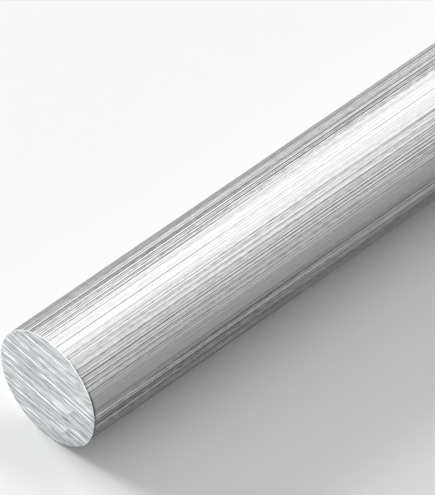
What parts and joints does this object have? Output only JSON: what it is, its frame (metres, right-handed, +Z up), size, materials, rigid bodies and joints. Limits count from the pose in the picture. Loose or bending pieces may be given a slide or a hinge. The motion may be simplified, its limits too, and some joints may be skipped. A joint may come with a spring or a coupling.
{
  "type": "round metal bar",
  "caption": "Solid round aluminium bar, mill finish with drawn lines along its length, sawn square at both ends with the edges broken.",
  "frame": {"origin": "middle of the bar's lowest line, on the surface that it lies on", "axes": "+X along the bar's axis, +Z up, +Y level and across the bar"},
  "size_m": [0.3, 0.03, 0.03],
  "materials": {
    "mill_aluminium": "mill finish, fine drawn lines along the bar, straight saw marks on the ends"
  },
  "bodies": {
    "root": {"round_bar": "mill_aluminium"}
  },
  "joints": []
}
